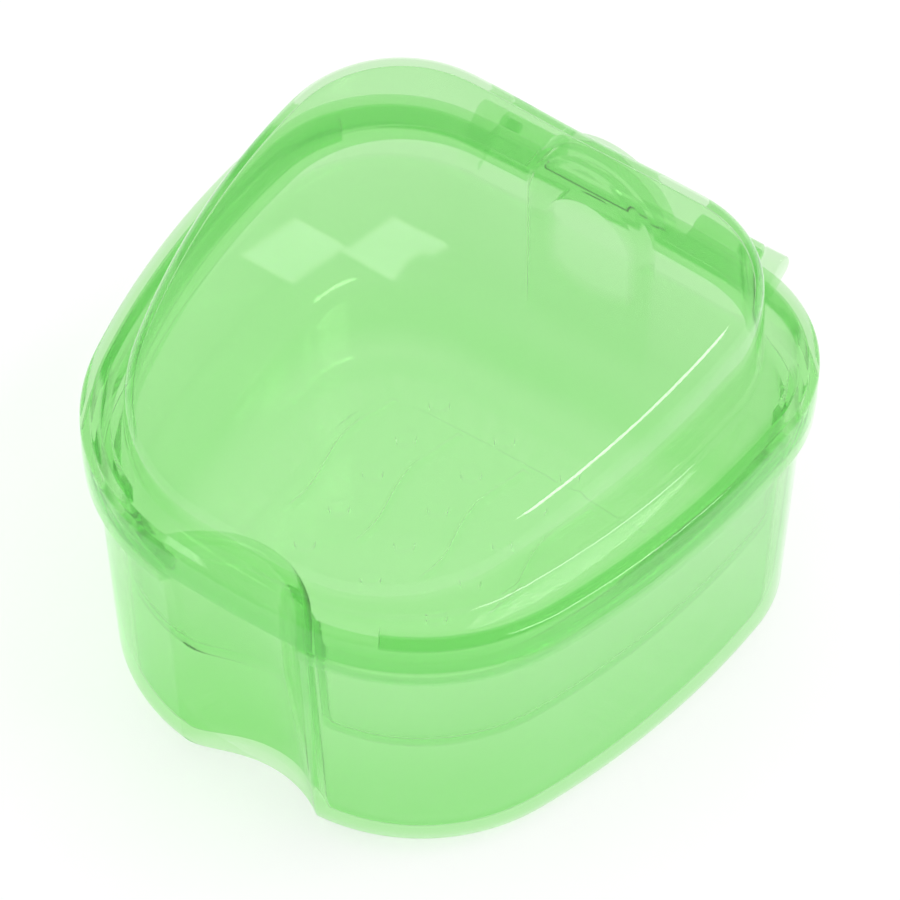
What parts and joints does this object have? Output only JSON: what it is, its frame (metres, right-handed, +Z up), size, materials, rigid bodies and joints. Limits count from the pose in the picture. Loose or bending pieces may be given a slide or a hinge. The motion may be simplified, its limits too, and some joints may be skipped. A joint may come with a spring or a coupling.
{
  "type": "retainer case",
  "caption": "Rounded translucent case with a hinged domed lid and a lift-out strainer basket with an arched handle, and a finger recess at the front.",
  "frame": {"origin": "middle of the bounding box on the surface that the case stands on", "axes": "+Z up, -Y the front with the finger recess, +Y the hinge side, +X to the right seen from the front"},
  "size_m": [0.09, 0.0947, 0.0658],
  "materials": {
    "green_plastic": "gloss"
  },
  "bodies": {
    "base": {"base_cup": "green_plastic", "strainer_basket": "green_plastic"},
    "lid": {"lid": "green_plastic"}
  },
  "joints": [
    {"name": "lid_hinge", "type": "hinge", "parent": "base", "child": "lid", "pos_m": [0, 0.04555, 0.0446], "axis": [-1, 0, 0], "range_deg": [0, 130]}
  ]
}
